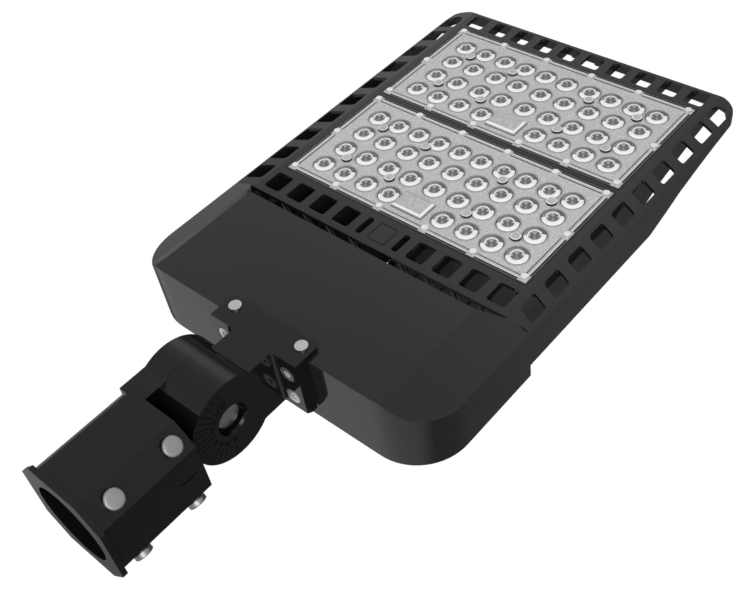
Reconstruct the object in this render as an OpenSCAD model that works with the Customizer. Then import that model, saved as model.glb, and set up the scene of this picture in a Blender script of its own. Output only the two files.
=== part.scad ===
// Area floodlight on a tilting slip-fitter arm.
// Origin: centre of the tenon bore's mouth. +Z runs up the bore, the lit face looks towards -Y.

/* [Slip fitter] */
// Radius of the bore that takes the pole tenon
tenon_r = 31.5; // [30.5:0.5:32]
// Length of the eight-sided socket
socket_len = 82.5; // [80:0.5:84]
// Distance from the bore's mouth to the tilt axis
hinge_z = 120.8; // [120:0.2:121.6]

/* [Head] */
// Overall width of the head
head_w = 297.4; // [294:0.4:300]
// Height of the driver compartment above the plane of the lit face
lid_rise = 12.6; // [11:0.2:14]
// Depth of the driver compartment's walls behind the plane of the lit face
box_depth = 50.5; // [49:0.5:52]

/* [Light modules] */
// Thickness of the clear lens plate between the optics
lens_t = 2.4; // [2:0.1:2.6]
// Height of each optic's ring above the plate
ring_rise = 1.4; // [1:0.1:1.8]

/* [Hidden] */

// cuts run past the faces they open by this much
over = 2;
// free play round a screw that is fixed, and of a shaft that turns or slides
screw_play = 0.05;
run_play = 0.06;
// gap between two parts that move past each other
move_gap = 0.3;
round_fn = 48;

// socket: eight-sided body with a lip round the mouth
socket_half = 37.6;
socket_corner = 21.9;
lip_half = 41.5;
lip_corner = 23.6;
lip_t = 4;
bore_deep = 70;
end_hole_r = 7;

// clamp screws on the two slanting faces
clamp_zs = [21.7, 70.2];
clamp_r = 5;
clamp_head_r = 7;
clamp_head_h = 4.2;
clamp_lift = 1.6;
clamp_tip_in = -0.2;
diag_face = (socket_half + socket_corner) * cos(45);

// index groove on the side of the socket
index_z = 69;
index_arc_r = 16;
index_w = 1.2;
index_deep = 0.8;
index_half_len = 6.5;

// knuckle: two round ears on one axis
ear_r = 35.8;
ear_out = -35;
ear_split = -12.8;
ear_web = 31.5;
dial_x = 25.4;
tilt_r = 5;
tilt_head_r = 9.8;
tilt_head_h = 6.4;
dial_bore_r = 12.9;
dial_head_drop = 5;
washer_t = 1.7;
washer_r = 11.4;
nut_flat = 17;
nut_t = 8.4;
nut_play = 0.2;
nut_fn = 6;
bolt_end = 1.5;
wire_ring_in = 13;
wire_ring_out = 27;
wire_ring_deep = 10;
wire_r = 6.5;
wire_ear_x = -24;
wire_drop = 20;
wire_cross_z = hinge_z - wire_drop;
wire_neck_x = -4.8;
tooth_in = 28.4;
tooth_rim = 1.4;
tooth_w = 1.6;
tooth_deep = 0.9;
tooth_step = 10;

// angle scale on the dial face
tick_in = 22.3;
tick_out = 28.9;
tick_w = 0.9;
tick_deep = 0.5;
tick_first = 100;
tick_last = 260;
tick_step = 10;

// bracket: neck, flange against the head and a tongue over its edge
neck_top = -27.3;
neck_bottom = 25.8;
flange_z = 165.5;
arm_z = 176.4;
seal_t = 1;
flange_left = -36.8;
flange_right = 48.5;
flange_low = 23.9;
flange_back = 27;
flange_slope = 4.5;
tongue_t = 3.7;
tongue_end = 189.4;
tongue_round = 3;
neck_fillet = 2.8;

// bracket screws
plate_screw_xs = [-27.2, 39.3];
plate_screw_z = 181.7;
plate_screw_r = 2.4;
plate_head_r = 4.9;
plate_head_h = 1.5;
plate_screw_deep = 10.2;
flange_bolt_xs = [-25.5, 37.2];
bolt_row_ys = [-12, 12.2];
flange_bolt_r = 4;
flange_head_r = 6.5;
flange_head_h = 5.4;
flange_head_play = 0.5;
hex_flat = 6;
hex_deep = 3;
bolt_reach = 12;
boss_r = 7.4;
boss_len = 9;

// housing: outer shape
half_w = head_w / 2;
face_y = -11;
lid_y = face_y - lid_rise;
back_y = face_y + box_depth;
lid_in = 35.7;
lid_half = half_w - lid_in;
crease_in = 20.1;
crease_half = half_w - crease_in;
crease_y = -12.5;
edge_y = -6.3;
strip_in = 4.2;
strip_half = half_w - strip_in;
strip_y = -8.9;
flat_in = 20.7;
flat_half = half_w - flat_in;
arm_round = 43;
far_z = 599.6;
far_side_z = 596.4;
far_round = 22;
far_arc_in = 27.7;
far_arc_half = half_w - far_arc_in;
step_z = 294.4;
sink_back = 28;
rim_back = 0.5;
far_nose = 4;
sink_profile = [[456, 28], [478, 21.7], [500, 14.6], [530, 8], [553, 3.6], [574, 0.5]];

// housing: walls, compartment, trench
wall = 6;
lid_wall = 3.4;
skirt_wall = 3;
lid_end_z = 279.2;
trench_in = 17.2;
trench_half = half_w - trench_in;
face_t = 8;
vent_face_t = 3;
seat_edge = 1.8;
cover_inset = 3.2;
cover_t = 3;
cover_drop = 0.5;
cover_seal_t = 1;
seal_w = 2.6;

// cooling fins
fin_t = 2.2;
fin_pitch = 25.3;
fin_near_z = 297.3;
fin_near_rake = 10.5;
fin_back_in = 1.5;
mid_fin_y = 6;
duct_half = 9;
duct_back = 8;
duct_far = 484;
duct_y = 1;
duct_r = 4.5;

// vents through the face
side_vent_in = 17.7;
vent_w = 16.8;
vent_ledge = 0.3;
vent_bar = fin_pitch - vent_w - 2 * vent_ledge;
vent_z0 = 300.6;
vent_z1 = 320;
vent_round = 2.3;
slot_x = 18.4;
slot_w = 5.8;
blank_half = 8.9;
blank_bar = slot_x - slot_w / 2 - vent_ledge - blank_half;
blank_line = 0.8;
blank_deep = 0.5;
far_vent_z0 = 574.4;
far_vent_z1 = 592.6;
side_in = half_w - side_vent_in;
side_out = half_w - skirt_wall - vent_ledge;
side_pitch = 29.25;
side_z = 306.7;
side_h = 18.4;
side_slant = 6;
side_count = 9;
corner_z0 = 561.2;
corner_z1 = 584;
corner_mid = 575;
corner_cut = 6.5;
side_soft = 2.6;
soft_step = 0.25;

// module seats
seat_y = -6;
module_half = 122;
module_play = 0.4;
module_z0 = 327.2;
module_len = 119.2;
module_pitch = 123.1;
module_rim = 7;
seal_sheet = 1.2;
seal_ring = 5.2;
board_in = 7.6;
board_half = module_half - board_in;
board_t = 1.6;
board_gap = 0.4;
screw_near_in = 6.1;
screw_far_in = 4.8;
screw_row_z = [module_z0 + screw_near_in, module_z0 + module_len - screw_far_in];
screw_x_shares = [-0.955, -0.573, -0.191, 0.191, 0.573, 0.955];
side_screw_in = 4.6;
side_screw_x = module_half - side_screw_in;
side_screw_z = module_z0 + module_len / 2;
mod_screw_r = 1.5;
mod_head_r = 2.8;
mod_head_h = 1.5;
mod_screw_deep = 7.4;

// optics and lamps, one row after another: places across the half width, then one along the length
optic_row_shares = [
    [[-0.795, -0.603, -0.409, -0.213, 0.238, 0.428, 0.623, 0.814], 0.176],
    [[-0.779, -0.584, -0.382, -0.191, 0.011, 0.207, 0.405, 0.6, 0.802], 0.383],
    [[-0.779, -0.584, -0.382, -0.191, 0.011, 0.207, 0.405, 0.6, 0.802], 0.583],
    [[-0.802, -0.619, -0.439, -0.26, -0.08, 0.099, 0.287, 0.459, 0.642, 0.817], 0.782]];
ring_r = 9.3;
ring_top_r = 7.2;
dome_r = 4.2;
dome_rise = 2.6;
lamp_room_r = 3.2;
lamp_w = 3;
lamp_t = 0.8;
peg_x_shares = [-0.699, -0.313, 0.332, 0.714];
peg_z_shares = [0.305, 0.7];
peg_r = 4.6;
peg_rise = 1.8;
plug_x0 = -15.4;
plug_x1 = 14;
plug_in = 12.2;
plug_len = 18.1;
plug_z0 = module_z0 + plug_in;
plug_z1 = plug_z0 + plug_len;
plug_rise = 3.2;
plug_skin = 1.4;
plug_gap = 0.6;
lead_z = plug_z0 + plug_len / 2;
lead_hole_r = 4;

// driver compartment's contents
floor_in = lid_y + lid_wall;
driver_left_in = 56.7;
driver_right_in = 64.7;
driver_x0 = driver_left_in - half_w;
driver_x1 = half_w - driver_right_in;
driver_z0 = 206;
driver_z1 = 264;
driver_h = 34;
driver_tab = 12;
driver_tab_t = 2;
box_screw_r = 2;
box_head_r = 4;
box_head_h = 2.4;
box_screw_deep = 1.4;
surge_in = 21.7;
surge_w = 29;
surge_x1 = half_w - surge_in;
surge_x0 = surge_x1 - surge_w;
surge_z0 = 212;
surge_z1 = 258;
surge_y = 1;
surge_h = 24;
surge_tab = 8;
block_in = 22.7;
block_w = 20;
block_x0 = block_in - half_w;
block_x1 = block_x0 + block_w;
block_z0 = 212;
block_z1 = 252;
block_h = 20;
block_y = 1;
pad_screw_deep = 2.4;
cover_screw_in = 30.7;
cover_screw_mid = 42;
cover_screw_end = half_w - cover_screw_in;
cover_screw_xs = [-cover_screw_end, -cover_screw_mid, cover_screw_mid, cover_screw_end];
cover_screw_r = 2.5;
cover_head_r = 4.6;
cover_head_h = 2.8;
cover_boss_r = 6;
cover_boss_len = 14;
cover_screw_deep = 12;
lead_r = 1.1;
lead_x = 2;
lead_start = 264;

// prism of an X-Z outline between two depths
module slab(y0, y1) {
    translate([0, y1, 0])
        rotate([90, 0, 0])
            linear_extrude(y1 - y0)
                children();
}

// prism of a Y-Z outline between two widths
module beam(x0, x1) {
    translate([x0, 0, 0])
        rotate([90, 0, 90])
            linear_extrude(x1 - x0)
                children();
}

// box between two corners
module block(x0, x1, y0, y1, z0, z1) {
    translate([x0, y0, z0])
        cube([x1 - x0, y1 - y0, z1 - z0]);
}

// round bar along X, along Y and along Z, each from one end to the other
module bar_x(r, x0, x1) {
    translate([x0, 0, 0])
        rotate([0, 90, 0])
            cylinder(r = r, h = x1 - x0, $fn = round_fn);
}

module bar_y(r, y0, y1) {
    translate([0, y0, 0])
        rotate([-90, 0, 0])
            cylinder(r = r, h = y1 - y0, $fn = round_fn);
}

module bar_z(r, z0, z1) {
    translate([0, 0, z0])
        cylinder(r = r, h = z1 - z0, $fn = round_fn);
}

// rectangle with round corners in the drawing plane
module round_rect(x0, x1, y0, y1, r) {
    translate([x0 + r, y0])
        square([x1 - x0 - 2 * r, y1 - y0]);
    translate([x0, y0 + r])
        square([x1 - x0, y1 - y0 - 2 * r]);
    for (x = [x0 + r, x1 - r])
        for (y = [y0 + r, y1 - r])
            translate([x, y])
                circle(r = r, $fn = round_fn);
}

// eight-sided outline with its flats on X and Y
module eight(half, corner) {
    polygon([[half, corner], [corner, half], [-corner, half], [-half, corner],
             [-half, -corner], [-corner, -half], [corner, -half], [half, -corner]]);
}

// one clamp screw drawn on its own axis, at the slanting face of the given side
module clamp_place(z, side) {
    translate([0, 0, z])
        rotate([0, 0, side * 45])
            children();
}

module teeth_cut(x0, x1) {
    translate([0, 0, hinge_z])
        for (a = [0 : tooth_step : 359])
            rotate([a, 0, 0])
                block(x0, x1, -tooth_w / 2, tooth_w / 2, tooth_in, ear_r - tooth_rim);
}

module slipfitter_casting() {
    color("dimgray")
        difference() {
            union() {
                linear_extrude(socket_len)
                    eight(socket_half, socket_corner);
                linear_extrude(lip_t)
                    eight(lip_half, lip_corner);
                block(ear_out, ear_split, -ear_web, ear_web, socket_len - over, hinge_z);
                translate([0, 0, hinge_z])
                    bar_x(ear_r, ear_out, ear_split);
            }
            bar_z(tenon_r, -over, bore_deep);
            translate([wire_ear_x, 0, 0])
                bar_z(end_hole_r, bore_deep - over, wire_cross_z);
            translate([0, 0, wire_cross_z])
                bar_x(wire_r, wire_ear_x, ear_split + over);
            translate([0, 0, hinge_z])
                bar_x(tilt_r + run_play, ear_out - over, ear_split + over);
            translate([ear_out - over, 0, hinge_z])
                rotate([0, 90, 0])
                    cylinder(r = (nut_flat / 2 + nut_play) / cos(30), h = nut_t + over, $fn = nut_fn);
            teeth_cut(ear_split - tooth_deep, ear_split + over);
            for (z = clamp_zs)
                for (side = [-1, 1])
                    clamp_place(z, side)
                        bar_x(clamp_r + run_play, tenon_r / 2, diag_face + over);
            intersection() {
                translate([socket_half - index_deep, -index_arc_r, index_z])
                    rotate([0, 90, 0])
                        difference() {
                            cylinder(r = index_arc_r + index_w / 2, h = over, $fn = round_fn);
                            cylinder(r = index_arc_r - index_w / 2, h = over, $fn = round_fn);
                        }
                block(0, socket_half + over, -index_arc_r, over + index_w,
                      index_z - index_half_len, index_z + index_half_len);
            }
        }
}

module clamp_screw(z, side) {
    color("silver")
        clamp_place(z, side) {
            bar_x(clamp_r, tenon_r - clamp_tip_in, diag_face + clamp_lift);
            bar_x(clamp_head_r, diag_face + clamp_lift, diag_face + clamp_lift + clamp_head_h);
        }
}

module clamp_screw_1() {
    clamp_screw(clamp_zs[0], -1);
}

module clamp_screw_2() {
    clamp_screw(clamp_zs[1], -1);
}

module clamp_screw_3() {
    clamp_screw(clamp_zs[0], 1);
}

module clamp_screw_4() {
    clamp_screw(clamp_zs[1], 1);
}

head_face = dial_x - dial_head_drop;
washer_x = head_face - tilt_head_h;
recess_x = washer_x - washer_t - move_gap;

module tilt_bolt() {
    color("silver")
        translate([0, 0, hinge_z]) {
            bar_x(tilt_r, ear_out - bolt_end, washer_x);
            bar_x(tilt_head_r, washer_x, head_face);
        }
}

module tilt_washer() {
    color("silver")
        translate([0, 0, hinge_z])
            difference() {
                bar_x(washer_r, washer_x - washer_t, washer_x);
                bar_x(tilt_r + screw_play, washer_x - washer_t - over, washer_x + over);
            }
}

module tilt_nut() {
    color("silver")
        translate([0, 0, hinge_z])
            difference() {
                translate([ear_out, 0, 0])
                    rotate([0, 90, 0])
                        cylinder(r = nut_flat / 2 / cos(30), h = nut_t, $fn = nut_fn);
                bar_x(tilt_r + screw_play, ear_out - over, ear_out + nut_t + over);
            }
}

ear_face = ear_split + move_gap;
tongue_y = lid_y - tongue_t;
seal_z = arm_z - seal_t;
bolt_seat_z = flange_z + flange_head_h;

// hollow corner between the neck's side and the flange
module neck_corner() {
    difference() {
        block(-over, neck_fillet, neck_top, flange_low, -neck_fillet, over);
        translate([neck_fillet, 0, -neck_fillet])
            bar_y(neck_fillet, neck_top - over, flange_low + over);
    }
}

module head_bracket() {
    color("dimgray")
        difference() {
            union() {
                translate([0, 0, hinge_z])
                    bar_x(ear_r, ear_face, dial_x);
                block(ear_face, dial_x, neck_top, neck_bottom, hinge_z, flange_z + over);
                beam(flange_left, flange_right)
                    polygon([[tongue_y, flange_z], [flange_low, flange_z],
                             [flange_back, flange_z + flange_slope],
                             [flange_back, seal_z], [tongue_y, seal_z]]);
                slab(tongue_y, lid_y)
                    round_rect(flange_left, flange_right, flange_z, tongue_end, tongue_round);
                block(flange_left, flange_right, tongue_y, lid_y, flange_z, seal_z);
                translate([dial_x, 0, flange_z])
                    neck_corner();
                translate([ear_face, 0, flange_z])
                    mirror([1, 0, 0])
                        neck_corner();
            }
            // recess for the tilt bolt's head, and its bore
            translate([0, 0, hinge_z]) {
                bar_x(dial_bore_r, recess_x, dial_x + over);
                bar_x(tilt_r + run_play, ear_face - over, dial_x);
                difference() {
                    bar_x(wire_ring_out, ear_face - over, ear_face + wire_ring_deep);
                    bar_x(wire_ring_in, ear_face - over * 2, ear_face + wire_ring_deep + over);
                }
            }
            translate([wire_neck_x, 0, 0])
                bar_z(wire_r, hinge_z + wire_ring_in + over, seal_z + over);
            teeth_cut(ear_face - over, ear_face + tooth_deep);
            // holes for the screws, and sunk seats for the bolts' heads
            for (x = flange_bolt_xs)
                for (y = bolt_row_ys)
                    translate([x, y, 0]) {
                        bar_z(flange_bolt_r + screw_play, flange_z - over, seal_z + over);
                        bar_z(flange_head_r + flange_head_play, flange_z - over, bolt_seat_z);
                    }
            for (x = plate_screw_xs)
                translate([x, 0, plate_screw_z])
                    bar_y(plate_screw_r + screw_play, tongue_y - over, lid_y + over);
            // scale on the dial face
            translate([0, 0, hinge_z])
                for (a = [tick_first : tick_step : tick_last])
                    rotate([a, 0, 0])
                        block(dial_x - tick_deep, dial_x + over, -tick_w / 2, tick_w / 2, tick_in, tick_out);
        }
}

module bracket_gasket() {
    color("black")
        difference() {
            block(flange_left + seal_t, flange_right - seal_t, lid_y + seal_t * 2, flange_low - seal_t,
                  seal_z, arm_z);
            translate([wire_neck_x, 0, 0])
                bar_z(wire_r, seal_z - over, arm_z + over);
            for (x = flange_bolt_xs)
                for (y = bolt_row_ys)
                    translate([x, y, 0])
                        bar_z(flange_bolt_r + screw_play, seal_z - over, arm_z + over);
        }
}

module plate_screws() {
    color("silver")
        for (x = plate_screw_xs)
            translate([x, 0, plate_screw_z]) {
                bar_y(plate_screw_r, tongue_y, tongue_y + plate_screw_deep);
                bar_y(plate_head_r, tongue_y - plate_head_h, tongue_y);
            }
}

module flange_bolts() {
    color("silver")
        for (x = flange_bolt_xs)
            for (y = bolt_row_ys)
                translate([x, y, 0])
                    difference() {
                        union() {
                            bar_z(flange_bolt_r, bolt_seat_z, arm_z + bolt_reach);
                            bar_z(flange_head_r, flange_z, bolt_seat_z);
                        }
                        translate([0, 0, flange_z - over])
                            cylinder(r = hex_flat / 2 / cos(30), h = hex_deep + over, $fn = nut_fn);
                    }
}

// plan outline of the head, shrunk on every side by the given inset
module head_outline(inset) {
    w = half_w - inset;
    z0 = arm_z + inset;
    z1 = far_side_z - inset;
    r0 = arm_round - inset;
    r1 = far_round - inset;
    polygon([[w - r0, z0], [w - r0, z0 + r0], [w, z0 + r0], [w, z1 - r1], [w - r1, z1 - r1],
             [w - r1, z1], [far_arc_half, z1], [far_arc_half / 2, far_z - inset - (far_z - far_side_z) / 4],
             [0, far_z - inset], [-far_arc_half / 2, far_z - inset - (far_z - far_side_z) / 4],
             [-far_arc_half, z1], [r1 - w, z1], [r1 - w, z1 - r1], [-w, z1 - r1], [-w, z0 + r0],
             [r0 - w, z0 + r0], [r0 - w, z0]]);
    for (s = [-1, 1]) {
        translate([s * (w - r0), z0 + r0])
            circle(r = r0, $fn = round_fn);
        translate([s * (w - r1), z1 - r1])
            circle(r = r1, $fn = round_fn);
    }
}

// outline of the driver compartment's part of the head, shrunk by the given inset
module box_outline(inset, end_z) {
    w = half_w - inset;
    z0 = arm_z + inset;
    r0 = arm_round - inset;
    polygon([[w - r0, z0], [w - r0, z0 + r0], [w, z0 + r0], [w, end_z], [-w, end_z],
             [-w, z0 + r0], [r0 - w, z0 + r0], [r0 - w, z0]]);
    for (s = [-1, 1])
        translate([s * (w - r0), z0 + r0])
            circle(r = r0, $fn = round_fn);
}

// cross-section of the compartment in the X-Y plane, its front moved in by the given inset
module box_section(inset, back) {
    polygon([[-half_w, edge_y + inset], [-crease_half, crease_y + inset], [-lid_half, lid_y + inset],
             [lid_half, lid_y + inset], [crease_half, crease_y + inset], [half_w, edge_y + inset],
             [half_w, back], [-half_w, back]]);
}

// cross-section of the lit part, its front moved in by the given inset
module sink_section(inset) {
    back = sink_back + inset;
    polygon([[-half_w, edge_y + inset], [-strip_half, strip_y + inset], [-flat_half, face_y + inset],
             [flat_half, face_y + inset], [strip_half, strip_y + inset], [half_w, edge_y + inset],
             [half_w, back], [-half_w, back]]);
}

// side outline of the lit part, its back moved in by the given inset
module sink_side(inset) {
    polygon(concat([[face_y, lid_end_z - over], [sink_back - inset, lid_end_z - over]],
                   [for (p = sink_profile) [p[1] - inset, p[0]]],
                   [[rim_back - inset, far_z + over], [edge_y, far_z + over], [edge_y, far_z],
                    [face_y, far_z - far_nose]]));
}

// side outline of a fin: its end at the trench leans back, and it starts at the given depth
module fin_side(front) {
    polygon([[front, fin_near_z], [sink_back, fin_near_z + fin_near_rake],
             [sink_back, far_z - skirt_wall], [front, far_z - skirt_wall]]);
}

// one fin, given by the middle of its thickness
module fin(x, t, front) {
    beam(x - t / 2, x + t / 2)
        fin_side(front);
}

// bars that fill the room between two vents, at both ends of the lit part
module vent_bars(x, w) {
    intersection() {
        fin(x, w, face_y + vent_face_t - over);
        union() {
            block(x - w / 2, x + w / 2, face_y, back_y, fin_near_z - over, module_z0);
            block(x - w / 2, x + w / 2, face_y, back_y, far_vent_z0 - seat_edge, far_z);
        }
    }
}

module fin_plates() {
    for (s = [-1, 1]) {
        for (k = [1 : 4]) {
            fin(s * k * fin_pitch, fin_t, seat_y);
            vent_bars(s * k * fin_pitch, vent_bar);
        }
        vent_bars(s * (blank_half + blank_bar / 2), blank_bar);
        fin(s * (side_in - vent_ledge - fin_t / 2), fin_t, face_y + vent_face_t - over);
        for (k = [0 : 4])
            fin(s * (k + 1 / 2) * fin_pitch, fin_t, mid_fin_y);
        for (k = [0 : 4])
            intersection() {
                fin(s * (k + 1 / 2) * fin_pitch, fin_t, seat_y);
                block(-half_w, half_w, seat_y, back_y, module_z0, module_z0 + module_pitch + module_len);
            }
    }
}

function toward(p, q, r) = p + (q - p) * r / norm(q - p);
function bend(a, p, b, t) = a * pow(1 - t, 2) + p * 2 * t * (1 - t) + b * pow(t, 2);

// the given outline with each corner rounded off over the length r of both its sides
module soft_outline(points, r) {
    n = len(points);
    polygon([for (i = [0 : n - 1])
                for (t = [0 : soft_step : 1])
                    bend(toward(points[i], points[(i + n - 1) % n], r), points[i],
                         toward(points[i], points[(i + 1) % n], r), t)]);
}

module side_vent(z) {
    soft_outline([[side_in, z], [side_out, z - side_slant], [side_out, z + side_h - side_slant],
                  [side_in, z + side_h]], side_soft);
}

module corner_vent() {
    soft_outline([[side_in, corner_z0 + side_slant], [side_out, corner_z0], [side_out, corner_mid],
                  [side_out - corner_cut, corner_z1], [side_in + side_soft, corner_z1],
                  [side_in, corner_z1 - side_soft * 2]], side_soft / 2);
}

module housing_vents() {
    slab(face_y - over, face_y + face_t + over) {
        for (s = [-1, 1]) {
            for (k = [1 : 4])
                round_rect(s * (k + 1 / 2) * fin_pitch - vent_w / 2, s * (k + 1 / 2) * fin_pitch + vent_w / 2,
                           vent_z0, vent_z1, vent_round);
            round_rect(s * slot_x - slot_w / 2, s * slot_x + slot_w / 2, vent_z0, vent_z1, vent_round);
            for (k = [0 : 4])
                round_rect(s * (k + 1 / 2) * fin_pitch - vent_w / 2, s * (k + 1 / 2) * fin_pitch + vent_w / 2,
                           far_vent_z0, far_vent_z1, vent_round);
        }
        for (k = [0 : side_count - 1]) {
            side_vent(side_z + k * side_pitch);
            mirror([1, 0])
                side_vent(side_z + k * side_pitch);
        }
        corner_vent();
        mirror([1, 0])
            corner_vent();
    }
}

module module_holes(r, y0, y1) {
    for (m = [0, 1])
        translate([0, 0, m * module_pitch])
            screw_places()
                bar_y(r, y0, y1);
}

module screw_places() {
    for (share = screw_x_shares)
        for (z = screw_row_z)
            translate([share * module_half, 0, z])
                children();
    for (s = [-1, 1])
        translate([s * side_screw_x, 0, side_screw_z])
            children();
}

seat_half = module_half + module_play + seat_edge;

module housing() {
    color("dimgray") {
        difference() {
            union() {
                difference() {
                    intersection() {
                        slab(lid_y - over, back_y)
                            box_outline(0, step_z);
                        linear_extrude(step_z)
                            box_section(0, back_y);
                    }
                    // compartment, and the rebate for its cover
                    intersection() {
                        slab(floor_in, back_y + over)
                            box_outline(wall, lid_end_z - wall);
                        linear_extrude(step_z)
                            box_section(lid_wall, back_y + over);
                    }
                    slab(back_y - cover_drop - cover_t - cover_seal_t, back_y + over)
                        box_outline(cover_inset, lid_end_z - cover_inset);
                    // open trench between the compartment and the lit part
                    slab(lid_y - over, back_y + over)
                        polygon([[-lid_half, lid_end_z], [lid_half, lid_end_z], [trench_half, step_z],
                                 [trench_half, step_z + over], [-trench_half, step_z + over],
                                 [-trench_half, step_z]]);
                }
                difference() {
                    intersection() {
                        slab(lid_y, back_y)
                            head_outline(0);
                        translate([0, 0, step_z])
                            linear_extrude(far_z - step_z + over)
                                sink_section(0);
                        beam(-half_w - over, half_w + over)
                            sink_side(0);
                    }
                    // hollow back of the lit part, its face thicker under the modules
                    difference() {
                        intersection() {
                            slab(lid_y, back_y)
                                head_outline(skirt_wall);
                            translate([0, 0, step_z - over])
                                linear_extrude(far_z - step_z)
                                    sink_section(vent_face_t);
                        }
                        block(-seat_half, seat_half, face_y, face_y + face_t, module_z0 - seat_edge,
                              module_z0 + module_pitch + module_len + seat_edge);
                    }
                }
                intersection() {
                    fin_plates();
                    beam(-half_w, half_w)
                        sink_side(fin_back_in);
                    slab(lid_y, back_y)
                        head_outline(skirt_wall / 2);
                }
                block(-duct_half, duct_half, seat_y, duct_back, lid_end_z - wall, duct_far);
                box_bosses();
            }
            housing_vents();
            // seats for the two light modules
            for (m = [0, 1])
                block(-module_half - module_play, module_half + module_play, face_y - over, seat_y,
                      module_z0 - module_play + m * module_pitch,
                      module_z0 + module_len + module_play + m * module_pitch);
            // way for the leads
            translate([0, duct_y, 0])
                bar_z(duct_r, lid_end_z - wall - over, duct_far - over * 2);
            for (m = [0, 1])
                translate([0, 0, lead_z + m * module_pitch])
                    bar_y(lead_hole_r, seat_y - over, duct_y);
            translate([wire_neck_x, 0, 0])
                bar_z(wire_r, arm_z - over, arm_z + wall + over);
            // plain panel drawn between the vents
            slab(face_y - over, face_y + blank_deep)
                difference() {
                    round_rect(-blank_half, blank_half, vent_z0, vent_z1, vent_round);
                    round_rect(blank_line - blank_half, blank_half - blank_line, vent_z0 + blank_line,
                               vent_z1 - blank_line, vent_round - blank_line);
                }
            module_holes(mod_screw_r + screw_play, face_y, face_y + mod_screw_deep + screw_play);
            housing_screw_holes();
        }
    }
}

// screw posts inside the driver compartment
module box_bosses() {
    for (x = flange_bolt_xs)
        for (y = bolt_row_ys)
            translate([x, y, 0])
                bar_z(boss_r, arm_z + over, arm_z + wall + boss_len);
    cover_screw_places()
        bar_y(cover_boss_r, cover_y - cover_boss_len, cover_y);
    intersection() {
        union() {
            block(surge_x0, surge_x1, lid_y, surge_y, surge_z0, surge_z1);
            block(block_x0, block_x1, lid_y, block_y, block_z0, block_z1);
        }
        linear_extrude(step_z)
            box_section(lid_wall / 2, back_y);
    }
}

cover_y = back_y - cover_drop - cover_t - cover_seal_t;
cover_screw_z0 = arm_z + wall + 2 * over;
cover_screw_z1 = lid_end_z - wall - 2 * over;

module cover_screw_places() {
    for (x = cover_screw_xs)
        translate([x, 0, cover_screw_z1])
            children();
    for (s = [-1, 1]) {
        translate([s * cover_screw_xs[2], 0, cover_screw_z0])
            children();
        translate([s * (half_w - wall - 2 * over), 0, arm_z + arm_round])
            children();
    }
}

module housing_screw_holes() {
    for (x = flange_bolt_xs)
        for (y = bolt_row_ys)
            translate([x, y, 0])
                bar_z(flange_bolt_r + screw_play, arm_z - over, arm_z + bolt_reach + screw_play);
    for (x = plate_screw_xs)
        translate([x, 0, plate_screw_z])
            bar_y(plate_screw_r + screw_play, lid_y - over, tongue_y + plate_screw_deep + screw_play);
    cover_screw_places()
        bar_y(cover_screw_r + screw_play, cover_y + cover_seal_t + cover_t - cover_screw_deep - screw_play,
              back_y);
    driver_screw_places()
        bar_y(box_screw_r + screw_play, floor_in - box_screw_deep - screw_play, floor_in + over);
    surge_screw_places()
        bar_y(box_screw_r + screw_play, surge_y - pad_screw_deep - screw_play, surge_y + over);
    block_screw_places()
        bar_y(box_screw_r + screw_play, block_y - pad_screw_deep - screw_play, block_y + over);
}

module back_cover() {
    color("dimgray")
        difference() {
            slab(back_y - cover_drop - cover_t, back_y - cover_drop)
                box_outline(cover_inset + screw_play * 4, lid_end_z - cover_inset - screw_play * 4);
            cover_screw_places()
                bar_y(cover_screw_r + screw_play, lid_y, back_y + over);
        }
}

module cover_gasket() {
    color("black")
        difference() {
            slab(cover_y, cover_y + cover_seal_t)
                box_outline(cover_inset + screw_play * 4, lid_end_z - cover_inset - screw_play * 4);
            slab(cover_y - over, cover_y + cover_seal_t + over)
                box_outline(cover_inset + seal_w, lid_end_z - cover_inset - seal_w);
        }
}

module cover_screws() {
    color("silver")
        cover_screw_places() {
            bar_y(cover_screw_r, cover_y + cover_seal_t + cover_t - cover_screw_deep, back_y - cover_drop);
            bar_y(cover_head_r, back_y - cover_drop, back_y - cover_drop + cover_head_h);
        }
}

driver_mid_z = (driver_z0 + driver_z1) / 2;

module driver_screw_places() {
    for (x = [driver_x0 - driver_tab / 2, driver_x1 + driver_tab / 2])
        translate([x, 0, driver_mid_z])
            children();
}

module led_driver() {
    color("lightgray")
        difference() {
            union() {
                block(driver_x0, driver_x1, floor_in, floor_in + driver_h, driver_z0, driver_z1);
                block(driver_x0 - driver_tab, driver_x1 + driver_tab, floor_in, floor_in + driver_tab_t,
                      driver_mid_z - driver_tab, driver_mid_z + driver_tab);
            }
            driver_screw_places()
                bar_y(box_screw_r + screw_play, lid_y, floor_in + driver_tab_t + over);
        }
}

module driver_screws() {
    color("silver")
        driver_screw_places() {
            bar_y(box_screw_r, floor_in - box_screw_deep, floor_in + driver_tab_t);
            bar_y(box_head_r, floor_in + driver_tab_t, floor_in + driver_tab_t + box_head_h);
        }
}

surge_mid_z = (surge_z0 + surge_z1) / 2;

module surge_screw_places() {
    for (z = [surge_z0 + surge_tab / 2, surge_z1 - surge_tab / 2])
        translate([(surge_x0 + surge_x1) / 2, 0, z])
            children();
}

module surge_protector() {
    color("black")
        difference() {
            union() {
                block(surge_x0, surge_x1, surge_y, surge_y + surge_h, surge_z0 + surge_tab,
                      surge_z1 - surge_tab);
                block(surge_x0, surge_x1, surge_y, surge_y + driver_tab_t, surge_z0, surge_z1);
            }
            surge_screw_places()
                bar_y(box_screw_r + screw_play, surge_y - over, surge_y + driver_tab_t + over);
        }
}

module surge_screws() {
    color("silver")
        surge_screw_places() {
            bar_y(box_screw_r, surge_y - pad_screw_deep, surge_y + driver_tab_t);
            bar_y(box_head_r - screw_play * 2, surge_y + driver_tab_t, surge_y + driver_tab_t + box_head_h);
        }
}

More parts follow.
